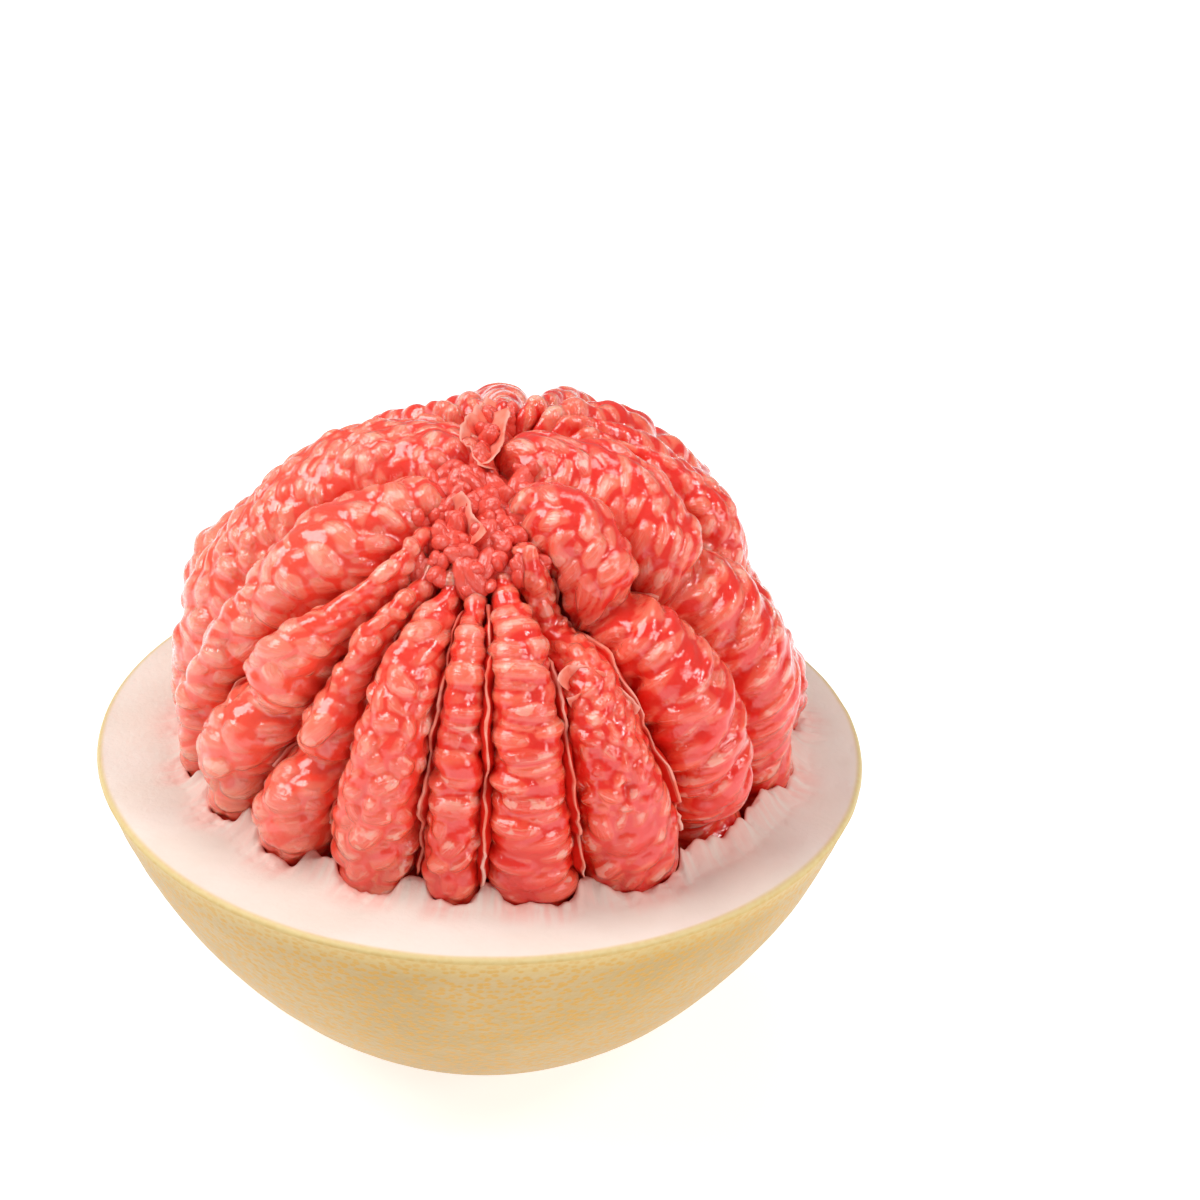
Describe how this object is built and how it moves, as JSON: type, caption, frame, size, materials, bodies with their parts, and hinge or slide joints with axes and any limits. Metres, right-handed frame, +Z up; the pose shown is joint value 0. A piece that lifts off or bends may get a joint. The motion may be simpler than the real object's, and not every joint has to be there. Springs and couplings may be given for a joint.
{
  "type": "opened pomelo",
  "caption": "Opened pomelo: peeled juice segments standing in the lower half of the rind, which rests on a small flat spot.",
  "frame": {"origin": "on the surface it rests on, in the middle of the outline seen from above", "axes": "+Z up, -Y the front that the picture shows, +X to its right"},
  "size_m": [0.16, 0.16, 0.1396],
  "materials": {
    "rind": "pale yellow pored skin outside, white spongy pith inside",
    "flesh": "wet, translucent pink-red juice sacs",
    "wall": "thin damp pale pink skin"
  },
  "bodies": {
    "root": {"rind_half": "rind", "segment_01": "flesh", "segment_02": "flesh", "segment_03": "flesh", "segment_04": "flesh", "segment_05": "flesh", "segment_06": "flesh", "segment_07": "flesh", "segment_08": "flesh", "segment_09": "flesh", "segment_10": "flesh", "segment_11": "flesh", "segment_12": "flesh", "segment_13": "flesh", "segment_14": "flesh", "segment_15": "flesh", "segment_16": "flesh", "segment_17": "flesh", "segment_18": "flesh", "wall_01": "wall", "wall_02": "wall", "wall_03": "wall", "wall_04": "wall", "wall_05": "wall", "wall_06": "wall", "wall_07": "wall", "wall_08": "wall", "wall_09": "wall", "wall_10": "wall", "wall_11": "wall", "wall_12": "wall", "wall_13": "wall", "wall_14": "wall", "wall_15": "wall", "wall_16": "wall", "wall_17": "wall", "wall_18": "wall"}
  },
  "joints": []
}
